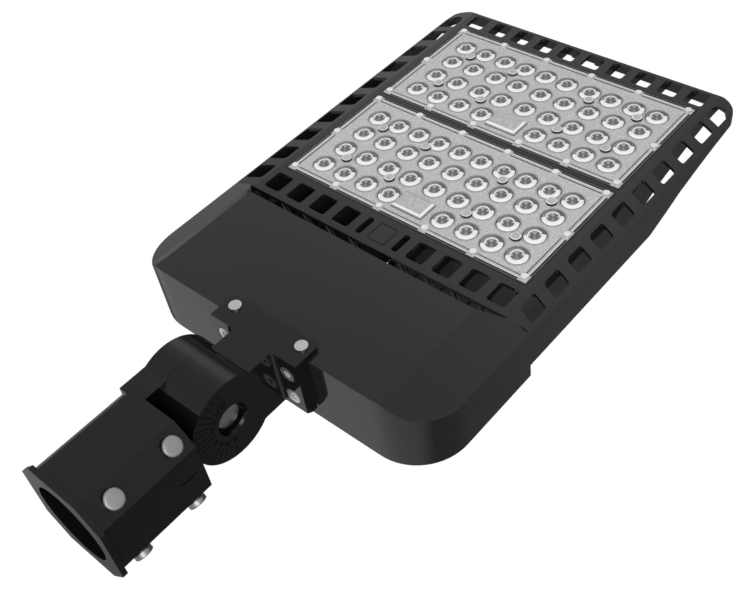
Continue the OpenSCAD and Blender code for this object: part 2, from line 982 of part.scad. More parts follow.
module block_screw_places() {
    for (z = [block_z0 + surge_tab / 2, block_z1 - surge_tab / 2])
        translate([(block_x0 + block_x1) / 2, 0, z])
            children();
}

module terminal_block() {
    color("ivory")
        difference() {
            union() {
                block(block_x0, block_x1, block_y, block_y + block_h, block_z0 + surge_tab,
                      block_z1 - surge_tab);
                block(block_x0, block_x1, block_y, block_y + driver_tab_t, block_z0, block_z1);
            }
            block_screw_places()
                bar_y(box_screw_r + screw_play, block_y - over, block_y + driver_tab_t + over);
        }
}

module terminal_screws() {
    color("silver")
        block_screw_places() {
            bar_y(box_screw_r, block_y - pad_screw_deep, block_y + driver_tab_t);
            bar_y(box_head_r - screw_play * 2, block_y + driver_tab_t, block_y + driver_tab_t + box_head_h);
        }
}

board_y = seat_y - board_t;

module led_leads() {
    color("firebrick")
        for (m = [0, 1])
            translate([(m * 2 - 1) * lead_x, 0, 0]) {
                translate([0, duct_y, 0])
                    bar_z(lead_r, lead_start, lead_z + m * module_pitch);
                translate([0, duct_y, lead_z + m * module_pitch])
                    sphere(r = lead_r, $fn = round_fn);
                translate([0, 0, lead_z + m * module_pitch])
                    bar_y(lead_r, seat_y, duct_y);
            }
}

// the pieces of one light module, drawn at the place of the module next to the arm
module module_gasket() {
    color("black")
        difference() {
            block(-module_half, module_half, seat_y - seal_sheet, seat_y, module_z0, module_z0 + module_len);
            block(-board_half - board_gap, board_half + board_gap, seat_y - seal_sheet - over, seat_y + over,
                  module_z0 + module_half - board_half - board_gap,
                  module_z0 + module_len - module_half + board_half + board_gap);
            screw_places()
                bar_y(mod_screw_r + screw_play, face_y, seat_y + over);
        }
}

module module_board() {
    color("white")
        difference() {
            block(-board_half, board_half, board_y, seat_y, module_z0 + module_half - board_half,
                  module_z0 + module_len - module_half + board_half);
            screw_places()
                bar_y(mod_screw_r + mod_head_r, board_y - over, seat_y + over);
        }
}

module optic_places() {
    for (row = optic_row_shares)
        for (share = row[0])
            translate([share * module_half, 0, module_z0 + row[1] * module_len])
                children();
}

module module_leds() {
    color("gold")
        optic_places()
            block(-lamp_w / 2, lamp_w / 2, board_y - lamp_t, board_y, -lamp_w / 2, lamp_w / 2);
}

plug_top = face_y - plug_rise + plug_skin;

module module_connector() {
    color("white")
        block(plug_x0 + plug_skin + plug_gap, plug_x1 - plug_skin - plug_gap, plug_top + plug_gap, board_y,
              plug_z0 + plug_skin + plug_gap, plug_z1 - plug_skin - plug_gap);
}

module module_lens() {
    color("aliceblue")
        difference() {
            union() {
                block(-module_half, module_half, face_y, seat_y - seal_sheet, module_z0,
                      module_z0 + module_len);
                optic_places()
                    translate([0, face_y + screw_play, 0])
                        rotate([90, 0, 0]) {
                            cylinder(r1 = ring_r, r2 = ring_top_r, h = ring_rise + screw_play,
                                     $fn = round_fn);
                            cylinder(r = dome_r, h = ring_rise + dome_rise, $fn = round_fn);
                        }
                for (x = peg_x_shares)
                    for (z = peg_z_shares)
                        translate([x * module_half, 0, module_z0 + z * module_len])
                            bar_y(peg_r, face_y - peg_rise, face_y + screw_play);
                block(plug_x0, plug_x1, face_y - plug_rise, face_y + screw_play, plug_z0, plug_z1);
            }
            // hollow under the plate, inside the rim
            block(-module_half + module_rim, module_half - module_rim, face_y + lens_t, seat_y,
                  module_z0 + module_rim, module_z0 + module_len - module_rim);
            optic_places()
                bar_y(lamp_room_r, face_y, seat_y);
            block(plug_x0 + plug_skin, plug_x1 - plug_skin, plug_top, seat_y, plug_z0 + plug_skin,
                  plug_z1 - plug_skin);
            screw_places()
                bar_y(mod_screw_r + screw_play, face_y - over, seat_y);
        }
}

module module_screws() {
    color("silver")
        screw_places() {
            bar_y(mod_screw_r, face_y, face_y + mod_screw_deep);
            bar_y(mod_head_r, face_y - mod_head_h, face_y);
        }
}

module near_gasket() {
    module_gasket();
}

module near_board() {
    module_board();
}

module near_leds() {
    module_leds();
}

module near_connector() {
    module_connector();
}

module near_lens() {
    module_lens();
}

module near_screws() {
    module_screws();
}

module far_gasket() {
    translate([0, 0, module_pitch])
        module_gasket();
}

module far_board() {
    translate([0, 0, module_pitch])
        module_board();
}

module far_leds() {
    translate([0, 0, module_pitch])
        module_leds();
}

module far_connector() {
    translate([0, 0, module_pitch])
        module_connector();
}

module far_lens() {
    translate([0, 0, module_pitch])
        module_lens();
}

module far_screws() {
    translate([0, 0, module_pitch])
        module_screws();
}

slipfitter_casting();
clamp_screw_1();
clamp_screw_2();
clamp_screw_3();
clamp_screw_4();
tilt_bolt();
tilt_washer();
tilt_nut();
head_bracket();
bracket_gasket();
plate_screws();
flange_bolts();
housing();
back_cover();
cover_gasket();
cover_screws();
led_driver();
driver_screws();
surge_protector();
surge_screws();
terminal_block();
terminal_screws();
led_leads();
near_gasket();
near_board();
near_leds();
near_connector();
near_lens();
near_screws();
far_gasket();
far_board();
far_leds();
far_connector();
far_lens();
far_screws();
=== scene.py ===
# Area floodlight on a tilting slip-fitter arm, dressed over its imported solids.
# Metres, +Z up the tenon bore, the lit face towards -Y.

import bpy
import bmesh
import math
from mathutils import Matrix, Vector


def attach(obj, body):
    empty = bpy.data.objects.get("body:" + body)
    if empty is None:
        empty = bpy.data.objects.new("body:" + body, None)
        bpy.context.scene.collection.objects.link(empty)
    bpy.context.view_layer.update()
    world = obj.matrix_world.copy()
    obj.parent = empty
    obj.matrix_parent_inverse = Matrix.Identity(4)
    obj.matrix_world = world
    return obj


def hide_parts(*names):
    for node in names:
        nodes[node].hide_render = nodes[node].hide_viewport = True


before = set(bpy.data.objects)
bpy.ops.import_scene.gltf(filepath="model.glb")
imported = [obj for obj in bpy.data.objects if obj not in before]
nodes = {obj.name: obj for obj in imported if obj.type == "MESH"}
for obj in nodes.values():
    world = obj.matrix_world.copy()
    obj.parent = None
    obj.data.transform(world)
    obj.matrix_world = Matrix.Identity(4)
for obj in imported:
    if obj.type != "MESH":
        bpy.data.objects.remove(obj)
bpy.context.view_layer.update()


# Camera
# Placed from the lines of the head and the circles of the slip fitter in the photograph.
# It stands in front of the lit face, low and to the right, and is rolled to the left.
camera_place = (0.4328, -0.5591, -0.0961)
camera_right = Vector((0.7481, 0.1236, 0.6520))
camera_up = Vector((-0.4128, -0.6825, 0.6031))
camera_lens = 50.70
film_width = 36.0
nearest_seen = 0.01
farthest_seen = 50.0

camera_back = camera_right.cross(camera_up).normalized()
camera_up = camera_back.cross(camera_right).normalized()
camera_data = bpy.data.cameras.new("camera")
camera_data.lens = camera_lens
camera_data.sensor_width = film_width
camera_data.clip_start = nearest_seen
camera_data.clip_end = farthest_seen
camera = bpy.data.objects.new("camera", camera_data)
camera_turn = Matrix((camera_right.normalized(), camera_up, camera_back)).transposed()
camera.matrix_world = Matrix.Translation(camera_place) @ camera_turn.to_4x4()
bpy.context.collection.objects.link(camera)
bpy.context.scene.camera = camera
bpy.context.scene.view_settings.view_transform = "Standard"


# Studio
# A white surround over a pale floor, with three soft lamps. The surround is even for what
# is lit and seen. Mirrored in the gloss it is graded, and dark behind and above the head,
# so that the facets of the castings part as they do in the photograph.
white = (1, 1, 1, 1)
surround_light = 0.6
surround_seen = 1.0

# the mirrored surround: its dark side, the levels off and on that side, and where they meet
tent_side = (0.1, 0.8, 0.9)
tent_near = 1.1
tent_far = 0.22
tent_edge = (0.2, 0.52)

# and how it goes from straight down, 0, to straight up, 1, as shares of its brightest step
tent_brightest = 1.2
tent_steps = [(0.0, 0.72), (0.45, 0.68), (0.60, 0.70), (0.70, 0.82),
              (0.79, tent_brightest), (0.9, 0.8), (1.0, 0.6)]


def add_node(tree, kind, values=None, operation=None):
    """A node of a kind, with values for its sockets by their name or number."""
    node = tree.nodes.new("ShaderNode" + kind)
    if operation:
        node.operation = operation
    for socket, value in (values or {}).items():
        node.inputs[socket].default_value = value
    return node


def join(tree, *pairs):
    """Link the output of each pair to its input."""
    for source, target in pairs:
        tree.links.new(source, target)


world = bpy.data.worlds.new("surround")
bpy.context.scene.world = world
world.use_nodes = True
sky = world.node_tree
sky.nodes.clear()
sky_out = add_node(sky, "OutputWorld")
sky_light = add_node(sky, "Background", {"Color": white, "Strength": surround_light})
sky_seen = add_node(sky, "Background", {"Color": white, "Strength": surround_seen})
sky_mirror = add_node(sky, "Background", {"Color": white})
sky_path = add_node(sky, "LightPath")
sky_clear = add_node(sky, "Math", operation="MAXIMUM")
sky_unseen = add_node(sky, "MixShader")
sky_all = add_node(sky, "MixShader")
sky_way = add_node(sky, "TexCoord")
sky_toward = add_node(sky, "VectorMath", {1: tent_side}, "DOT_PRODUCT")
sky_parts = add_node(sky, "SeparateXYZ")
sky_across = add_node(sky, "MapRange", {"From Min": tent_edge[0], "From Max": tent_edge[1],
                                        "To Min": tent_near, "To Max": tent_far})
sky_across.interpolation_type = "SMOOTHSTEP"
sky_rise = add_node(sky, "MapRange", {"From Min": -1})
sky_ramp = add_node(sky, "ValToRGB")
sky_level = add_node(sky, "Math", operation="MULTIPLY")
ramp = sky_ramp.color_ramp
ramp.interpolation = "EASE"
for k, (place, level) in enumerate(tent_steps):
    step = ramp.elements[k] if k < 2 else ramp.elements.new(place)
    step.position = place
    share = level / tent_brightest
    step.color = (share, share, share, 1)
join(sky,
     (sky_way.outputs["Generated"], sky_toward.inputs[0]),
     (sky_way.outputs["Generated"], sky_parts.inputs[0]),
     (sky_toward.outputs["Value"], sky_across.inputs["Value"]),
     (sky_parts.outputs["Z"], sky_rise.inputs["Value"]),
     (sky_rise.outputs["Result"], sky_ramp.inputs["Fac"]),
     (sky_across.outputs["Result"], sky_level.inputs[0]),
     (sky_ramp.outputs["Color"], sky_level.inputs[1]),
     (sky_level.outputs[0], sky_mirror.inputs["Strength"]),
     (sky_path.outputs["Is Camera Ray"], sky_clear.inputs[0]),
     (sky_path.outputs["Is Transmission Ray"], sky_clear.inputs[1]),
     (sky_path.outputs["Is Glossy Ray"], sky_unseen.inputs["Fac"]),
     (sky_light.outputs[0], sky_unseen.inputs[1]),
     (sky_mirror.outputs[0], sky_unseen.inputs[2]),
     (sky_clear.outputs[0], sky_all.inputs["Fac"]),
     (sky_unseen.outputs[0], sky_all.inputs[1]),
     (sky_seen.outputs[0], sky_all.inputs[2]),
     (sky_all.outputs[0], sky_out.inputs["Surface"]))

# the floor lies where the foot of a short pole would be; to the camera it is lifted to
# about white, and rays mirrored in the gloss pass through it
floor_height = -1.6
floor_reach = 12.0
floor_tone = 0.86
floor_drift = 1.04
floor_lift = 0.48
floor_cloud = (3, 2)

# sockets of a Mix node that hold its colours
first_colour, second_colour, mixed_colour = 6, 7, 2


def noise(tree, place, grain):
    """Noise over the surface; the grain is its scale and detail."""
    cloud = add_node(tree, "TexNoise", {"Scale": grain[0], "Detail": grain[1]})
    join(tree, (place, cloud.inputs["Vector"]))
    return cloud.outputs["Fac"]


def tint_between(tree, mask, first, second):
    """A colour that goes from the first to the second as the mask rises."""
    tint = add_node(tree, "Mix", {first_colour: (*first, 1), second_colour: (*second, 1)})
    tint.data_type = "RGBA"
    join(tree, (mask, tint.inputs["Factor"]))
    return tint.outputs[mixed_colour]


floor_paint = bpy.data.materials.new("floor_paint")
floor_paint.use_nodes = True
paint = floor_paint.node_tree
paint.nodes.clear()
paint_out = add_node(paint, "OutputMaterial")
paint_matt = add_node(paint, "BsdfDiffuse")
paint_glow = add_node(paint, "Emission")
paint_clear = add_node(paint, "BsdfTransparent")
paint_path = add_node(paint, "LightPath")
paint_lift = add_node(paint, "Math", {1: floor_lift}, "MULTIPLY")
paint_past = add_node(paint, "Math", operation="MAXIMUM")
paint_lit = add_node(paint, "AddShader")
paint_all = add_node(paint, "MixShader")
paint_place = add_node(paint, "TexCoord").outputs["Object"]
paint_tint = tint_between(paint, noise(paint, paint_place, floor_cloud),
                          (floor_tone,) * 3, (floor_tone * floor_drift,) * 3)
join(paint,
     (paint_tint, paint_matt.inputs["Color"]),
     (paint_path.outputs["Is Camera Ray"], paint_lift.inputs[0]),
     (paint_lift.outputs[0], paint_glow.inputs["Strength"]),
     (paint_matt.outputs[0], paint_lit.inputs[0]),
     (paint_glow.outputs[0], paint_lit.inputs[1]),
     (paint_path.outputs["Is Glossy Ray"], paint_past.inputs[0]),
     (paint_path.outputs["Is Transmission Ray"], paint_past.inputs[1]),
     (paint_past.outputs[0], paint_all.inputs["Fac"]),
     (paint_lit.outputs[0], paint_all.inputs[1]),
     (paint_clear.outputs[0], paint_all.inputs[2]),
     (paint_all.outputs[0], paint_out.inputs["Surface"]))
floor_mesh = bpy.data.meshes.new("floor")
floor_mesh.from_pydata([(x * floor_reach, y * floor_reach, floor_height)
                        for x, y in ((-1, -1), (1, -1), (1, 1), (-1, 1))], [], [(0, 1, 2, 3)])
floor_mesh.materials.append(floor_paint)
floor = bpy.data.objects.new("floor", floor_mesh)
bpy.context.collection.objects.link(floor)

# each square lamp: its place, what it faces, its side in metres and its power in watts
head_middle = (0.0, 0.0, 0.35)
knuckle = (0.0, 0.0, 0.2)
soft_lamps = {"low_lamp": ((1.5, -1.5, -1.2), head_middle, 1.3, 34),
              "side_lamp": ((-2.2, -0.7, -0.9), knuckle, 0.8, 8),
              "back_lamp": ((-0.9, 2.3, 1.2), head_middle, 1.5, 14)}
for name, (place, target, size, power) in soft_lamps.items():
    lamp_data = bpy.data.lights.new(name, "AREA")
    lamp_data.shape = "SQUARE"
    lamp_data.size = size
    lamp_data.energy = power
    lamp = bpy.data.objects.new(name, lamp_data)
    aim = (Vector(target) - Vector(place)).to_track_quat("-Z", "Y")
    lamp.matrix_world = Matrix.Translation(place) @ aim.to_matrix().to_4x4()
    bpy.context.collection.objects.link(lamp)


# Slip fitter and bracket
# Two aluminium castings: the socket that goes over the pole, with one ear of the knuckle,
# and the arm with the other ear, bolted to the head by its flange. Both have a black gloss
# powder coat, baked on, which flows before it sets and keeps a fine orange peel.
peel_grain = (700, 2)
peel_strength = 0.1
peel_depth = 0.00001
cloud_grain = (14, 4)
coat_dark = (0.88, 0.92, 0.91)
coat_pale = (1.08, 1.13, 1.11)
coat_spread = (-0.02, 0.03)
coat_gloss = 0.06
coat_mirror = 0.32
coat_mirror_tint = (0.95, 1.0, 0.98, 1)
arm_tone = 0.005


def start_finish(name):
    """A new finish: its material, tree and shader, and the place on the piece."""
    finish = bpy.data.materials.new(name)
    finish.use_nodes = True
    tree = finish.node_tree
    return finish, tree, tree.nodes["Principled BSDF"], add_node(tree, "TexCoord").outputs["Object"]


def shades(tone, shares):
    """The tone times each of three shares, as a colour."""
    return tuple(tone * share for share in shares)


def roughen(tree, shader, mask, smoothest, roughest):
    """Roughness between two values as the mask rises."""
    spread = add_node(tree, "MapRange", {"To Min": smoothest, "To Max": roughest})
    join(tree, (mask, spread.inputs["Value"]), (spread.outputs["Result"], shader.inputs["Roughness"]))


def emboss(tree, shader, mask, strength, depth):
    """Fine relief that follows the mask."""
    bump = add_node(tree, "Bump", {"Strength": strength, "Distance": depth})
    join(tree, (mask, bump.inputs["Height"]), (bump.outputs["Normal"], shader.inputs["Normal"]))


def powder_coat(name, tone, gloss=coat_gloss, mirror=coat_mirror):
    """Baked coat in a tone, with its roughness and the strength of its mirroring."""
    coat, tree, shader, place = start_finish(name)
    cloud = noise(tree, place, cloud_grain)
    tint = tint_between(tree, cloud, shades(tone, coat_dark), shades(tone, coat_pale))
    join(tree, (tint, shader.inputs["Base Color"]))
    roughen(tree, shader, cloud, gloss + coat_spread[0], gloss + coat_spread[1])
    emboss(tree, shader, noise(tree, place, peel_grain), peel_strength, peel_depth)
    shader.inputs["Specular IOR Level"].default_value = mirror
    shader.inputs["Specular Tint"].default_value = coat_mirror_tint
    return coat


def dress(finish, *names):
    """Give solids of the frame one finish all over."""
    for name in names:
        piece = nodes[name]
        piece.data.materials.clear()
        piece.data.materials.append(finish)


dress(powder_coat("socket_coat", arm_tone), "slipfitter_casting", "head_bracket")


# Bolts and screws
# Zinc-plated steel, cold-headed and thread-rolled, driven into the castings or through
# them with a nut. The plating has a fine grain. The flange bolts and the screws of the
# light modules are given a paler tone than the rest, a painted highlight.
plating_grain = (700, 5)
plating_dark = (0.9, 0.91, 0.92)
plating_pale = (1, 1, 1)
plating_spread = (-0.06, 0.08)
plating_strength = 0.1
plating_depth = 0.0001


def plated_steel(name, tone, gloss):
    """Plated metal in a tone, with its roughness."""
    steel, tree, shader, place = start_finish(name)
    grain = noise(tree, place, plating_grain)
    tint = tint_between(tree, grain, shades(tone, plating_dark), shades(tone, plating_pale))
    join(tree, (tint, shader.inputs["Base Color"]))
    roughen(tree, shader, grain, gloss + plating_spread[0], gloss + plating_spread[1])
    emboss(tree, shader, grain, plating_strength, plating_depth)
    shader.inputs["Metallic"].default_value = 1.0
    return steel


dress(plated_steel("bolt_plate", 0.6, 0.3), "tilt_bolt", "tilt_washer", "tilt_nut", "plate_screws",
      "cover_screws", "driver_screws", "surge_screws", "terminal_screws")
# the paler tone of these is a painted highlight
dress(plated_steel("painted_highlight_plate", 0.95, 0.4), "flange_bolts", "near_screws", "far_screws")


# Clamp screws
# Four screws of zinc-plated steel go through the slanting faces of the socket and bear on
# the pole. Each has a round turned head with a bevelled rim and a faintly domed crown, with
# six shallow flats round the crown's edge.
clamp_plate = plated_steel("clamp_plate", 0.34, 0.42)
low_screw = 0.0217
high_screw = 0.0702
clamp_screws = [("clamp_screw_1", low_screw, -1), ("clamp_screw_2", high_screw, -1),
                ("clamp_screw_3", low_screw, 1), ("clamp_screw_4", high_screw, 1)]
clamp_sides = 48
clamp_flats = 6
crown_band = 5

# radius, distance from the bore's axis, and how deep the flats go as a share of the radius
clamp_profile = [(0.0012, 0.0317, 0), (0.005, 0.0323, 0), (0.005, 0.04367, 0),
                 (0.007, 0.04367, 0), (0.007, 0.0469, 0), (0.0064, 0.0475, 0),
                 (0.0061, 0.0476, 0.03), (0.0040, 0.04767, 0), (0.0012, 0.0477, 0)]


def skin(mesh, loops):
    """Faces between each loop and the next; gives each face with its band and its place."""
    for band, (lower, upper) in enumerate(zip(loops, loops[1:])):
        for k in range(len(lower)):
            after = (k + 1) % len(lower)
            yield mesh.faces.new((lower[k], lower[after], upper[after], upper[k])), band, k


def make_piece(name, mesh, *finishes):
    """An object from finished mesh code, with its finishes."""
    bmesh.ops.recalc_face_normals(mesh, faces=mesh.faces)
    data = bpy.data.meshes.new(name)
    mesh.to_mesh(data)
    mesh.free()
    for finish in finishes:
        data.materials.append(finish)
    piece = bpy.data.objects.new(name, data)
    bpy.context.collection.objects.link(piece)
    return piece


dress(clamp_plate, *[node for node, height, side in clamp_screws])
for number, (node, height, side) in enumerate(clamp_screws, 1):
    origin = Vector((0, 0, height))
    outward = Vector((1, side, 0)).normalized()
    right = outward.orthogonal().normalized()
    ahead = outward.cross(right)
    mesh = bmesh.new()
    loops = []
    for radius, reach, flats in clamp_profile:
        loop = []
        for k in range(clamp_sides):
            a = 2 * math.pi * k / clamp_sides
            r = radius * (1 - flats * (0.5 + 0.5 * math.cos(clamp_flats * a)))
            loop.append(mesh.verts.new(origin + outward * reach
                                       + right * r * math.cos(a) + ahead * r * math.sin(a)))
        loops.append(loop)
    for face, band, k in skin(mesh, loops):
        face.smooth = band >= crown_band
    mesh.faces.new(loops[0][::-1])
    mesh.faces.new(loops[-1])
    clamp = make_piece("clamp_head_%d" % number, mesh, clamp_plate)
    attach(clamp, "clamp_body_%d" % number)
    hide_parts(node)


# Dial marks
# The tilt scale on the round face of the knuckle, 0 to 80 degrees each way, and the index
# on the side of the socket. The marks are matt on the gloss of the casting, made as thin
# bars let into its face with their tops a hair proud.
dial_face = 0.0254
hinge_height = 0.1208
mark_proud = 0.00003
mark_depth = 0.0003
scale_degrees = range(100, 261, 10)
scale_zero = 180
figure_every = 20
tick_reach = (0.0287, 0.0335)
tick_width = 0.0008

# strokes of each figure on a grid one wide and two high
figure_strokes = {"0": [(0, 0, 0, 2), (0, 2, 1, 2), (1, 2, 1, 0), (1, 0, 0, 0)],
                  "2": [(0, 2, 1, 2), (1, 2, 1, 1), (1, 1, 0, 1), (0, 1, 0, 0), (0, 0, 1, 0)],
                  "4": [(0, 2, 0, 1), (0, 1, 1, 1), (1, 2, 1, 0)],
                  "6": [(1, 2, 0, 2), (0, 2, 0, 0), (0, 0, 1, 0), (1, 0, 1, 1), (1, 1, 0, 1)],
                  "8": [(0, 0, 0, 2), (0, 2, 1, 2), (1, 2, 1, 0), (1, 0, 0, 0), (0, 1, 1, 1)]}
stroke = 0.0006
figure_width = 0.0013
figure_half = 0.0015
figure_pitch_share = 1.75
figure_step = figure_width * figure_pitch_share
figure_reach = 0.0192

# the index is an arc on the socket's side, given by its middle, radius and degrees
index_middle = (-0.016, 0.069)
index_radius = 0.016
index_degrees = range(-22, 23, 4)
index_width = 0.0009
index_front = 0.03755
index_depth = 0.0005


def mark_bar(mesh, start, end, width, front, depth):
    """A thin bar let into a face across X, from one point to another in (y, z)."""
    along = Vector((0, end[0] - start[0], end[1] - start[1]))
    along.normalize()
    across = Vector((1, 0, 0)).cross(along) * width / 2
    first = Vector((0, start[0], start[1])) - along * width / 2
    last = Vector((0, end[0], end[1])) + along * width / 2
    corners = [first - across, last - across, last + across, first + across]
    low = [mesh.verts.new(c + Vector((front - depth, 0, 0))) for c in corners]
    high = [mesh.verts.new(c + Vector((front, 0, 0))) for c in corners]
    mesh.faces.new(low)
    mesh.faces.new(high[::-1])
    for k in range(4):
        mesh.faces.new((low[k], high[k], high[(k + 1) % 4], low[(k + 1) % 4]))


def dial_bar(start, end, width):
    mark_bar(dial, start, end, width, dial_face + mark_proud, mark_depth)


dial = bmesh.new()
centre = Vector((0, hinge_height))
for degrees in scale_degrees:
    a = math.radians(degrees)
    out = Vector((-math.sin(a), math.cos(a)))
    dial_bar(centre + out * tick_reach[0], centre + out * tick_reach[1], tick_width)
    if (degrees - scale_zero) % figure_every == 0:
        text = str(abs(degrees - scale_zero))
        rise = -out
        across = Vector((rise[1], -rise[0]))
        span = (len(text) - 1) * figure_step
        for place, figure in enumerate(text):
            middle = centre + out * figure_reach + across * (place * figure_step - span / 2)
            for x0, y0, x1, y1 in figure_strokes[figure]:
                ends = [middle + across * (x - 0.5) * figure_width + rise * (y - 1) * figure_half
                        for x, y in ((x0, y0), (x1, y1))]
                dial_bar(ends[0], ends[1], stroke)
index = bmesh.new()
index_points = [(index_middle[0] + index_radius * math.cos(a),
                 index_middle[1] + index_radius * math.sin(a))
                for a in [math.radians(degrees) for degrees in index_degrees]]
for start, end in zip(index_points, index_points[1:]):
    mark_bar(index, start, end, index_width, index_front, index_depth)
mark_finish = powder_coat("mark_finish", 0.002, 0.75, 0.08)
for name, mesh, body in (("dial_marks", dial, "head"), ("index_mark", index, "slip_fitter")):
    piece = make_piece(name, mesh, mark_finish)
    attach(piece, body)


# Housing and back cover
# One aluminium casting holds the driver compartment, the lit face with its vents and the
# fins behind it. A flat cover is screwed over the compartment from behind. Both have the
# black powder coat, a shade paler than the arm.
housing_tone = 0.012
dress(powder_coat("housing_coat", housing_tone), "housing", "back_cover")


# Gaskets
# Moulded black silicone, matt, with the fine nap of the mould. They are squeezed between
# flange and head, under the back cover and under each light module.
mould_grain = 400
mould_detail = 4
mould_dark = 0.9
mould_pale = 1.06
mould_strength = 0.15
mould_depth = 0.0001


def moulded(name, colour, gloss, grain_scale=mould_grain):
    """Moulded stuff in a colour, with its roughness and the scale of its nap."""
    stuff, tree, shader, place = start_finish(name)
    grain = noise(tree, place, (grain_scale, mould_detail))
    tint = tint_between(tree, grain, tuple(c * mould_dark for c in colour),
                        tuple(min(c * mould_pale, 1.0) for c in colour))
    join(tree, (tint, shader.inputs["Base Color"]))
    emboss(tree, shader, grain, mould_strength, mould_depth)
    shader.inputs["Roughness"].default_value = gloss
    return stuff


dress(moulded("silicone", (0.02, 0.02, 0.021), 0.75),
      "bracket_gasket", "cover_gasket", "near_gasket", "far_gasket")


# Driver compartment
# The driver is a can of drawn aluminium, held by its tabs. The protector and the terminal
# block are moulded plastic, screwed down beside it, and red silicone sleeves cover the leads.
dress(plated_steel("driver_can", 0.6, 0.5), "led_driver")
dress(moulded("protector_case", (0.025, 0.025, 0.03), 0.5), "surge_protector")
dress(moulded("terminal_case", (0.78, 0.77, 0.7), 0.45), "terminal_block")
dress(moulded("lead_sleeve", (0.4, 0.04, 0.03), 0.5), "led_leads")


# Light modules
# Each has a white-lacquered board, lamps with yellow phosphor and a white plug, under a
# plate moulded in clear polycarbonate and screwed down along its rim. Over the board the
# plate reads pale grey, so its finishes are the tones that show in the photograph. Apart
# from the plate's own web and rim tones, these finishes are painted light and shade.
dress(moulded("board_lacquer", (0.86, 0.87, 0.87), 0.4, 250), "near_board", "far_board")
dress(moulded("phosphor", (0.85, 0.62, 0.12), 0.4, 900), "near_leds", "far_leds")
dress(moulded("plug_white", (0.85, 0.85, 0.82), 0.45), "near_connector", "far_connector")

plate_warmth = (1, 1, 0.99)
plate_mirror = 0.4


def plate_stuff(name, tone, gloss, spread, grain_scale):
    """Polycarbonate over the board: its tone, roughness, and the spread and scale of its grain."""
    stuff, tree, shader, place = start_finish(name)
    grain = add_node(tree, "TexVoronoi", {"Scale": grain_scale})
    tint = tint_between(tree, grain.outputs["Distance"], shades(tone * (1 - spread), plate_warmth),
                        shades(tone * (1 + spread), plate_warmth))
    join(tree, (place, grain.inputs["Vector"]), (tint, shader.inputs["Base Color"]))
    shader.inputs["Roughness"].default_value = gloss
    shader.inputs["Specular IOR Level"].default_value = plate_mirror
    return stuff


# the web and rim tones are the plate's own; the rest are painted light and shade: a painted highlight,
# three depths of painted shading, a paler painted tone for the bell's cap, and a ring of painted shade
# round each optic's foot
WEB, RIM, PAINTED_HIGHLIGHT, PAINTED_SHADING, PAINTED_HEAVY_SHADING, PAINTED_BLACK_SHADING, CAP, PAINTED_FOOT_SHADING = range(8)
plate_finishes = [plate_stuff("plate_web", 0.54, 0.25, 0.2, 620),
                  plate_stuff("plate_rim", 0.5, 0.2, 0.14, 300),
                  plate_stuff("plate_painted_highlight", 0.93, 0.2, 0.04, 500),
                  plate_stuff("plate_painted_shading", 0.24, 0.2, 0.15, 500),
                  plate_stuff("plate_painted_heavy_shading", 0.14, 0.2, 0.2, 700),
                  plate_stuff("plate_painted_black_shading", 0.012, 0.3, 0.2, 700),
                  plate_stuff("plate_cap", 0.42, 0.15, 0.1, 600),
                  plate_stuff("plate_painted_foot_shading", 0.42, 0.25, 0.2, 620)]

# places and sizes of the plate
module_half = 0.122
module_len = 0.1192
module_starts = {"near": 0.3272, "far": 0.4503}
plate_front = -0.011
plate_back = -0.0086
seat_back = -0.0072
foot = plate_front + 0.0003
web_soft = 0.0001
rim_width = 0.007
rim_front = plate_front - 0.00005
rim_soft = 0.00045

# lines along the rim, dark ones of painted shade and a bright one of painted highlight:
# distance from the edge, width and finish; they end short of the screws
rim_painted_lines = ((0.0024, 0.0019, PAINTED_BLACK_SHADING), (0.0038, 0.0006, PAINTED_HIGHLIGHT), (0.0065, 0.0008, PAINTED_BLACK_SHADING))
line_front = rim_front - 0.00003
line_back = rim_front + 0.0002
line_soft = 0.00001
line_short = 0.0036
end_line_short = 0.009
middle_line_short = 0.005
screw_shares = [-0.955, -0.573, -0.191, 0.191, 0.573, 0.955]

# dark line round the plate, where it meets its gasket: painted shadow of the housing's seat on the
# plate's edge
lip_width = 0.0013
lip_back = rim_front + 0.0006

# cover over the plug, its chamfer, and the line of painted shade round its foot
plug_left, plug_right, plug_low, plug_high = -0.0154, 0.014, 0.0122, 0.0303
plug_front = plate_front - 0.0032
plug_chamfer = 0.0014
plug_shading_line = 0.0009
plug_line_front = plate_front - 0.0001
plug_line_soft = 0.00002

# optics in each row as shares of the half width, and the row's share of the length
inner_row = [-0.779, -0.584, -0.382, -0.191, 0.011, 0.207, 0.405, 0.6, 0.802]
optic_rows = [([-0.795, -0.603, -0.409, -0.213, 0.238, 0.428, 0.623, 0.814], 0.176),
              (inner_row, 0.383),
              (inner_row, 0.583),
              ([-0.802, -0.619, -0.439, -0.26, -0.08, 0.099, 0.287, 0.459, 0.642, 0.817], 0.782)]
peg_shares = [(x, z) for x in (-0.699, -0.313, 0.332, 0.714) for z in (0.305, 0.7)]

# Each optic is a round moulding with a bell in a ring, the same all round. In the photograph
# it shows bright towards the arm and grey towards the far end, so its bands carry painted
# highlight and painted shade by their angle from this direction in X and Z.
bright_way = math.atan2(-0.826, 0.564)
optic_sides = 40

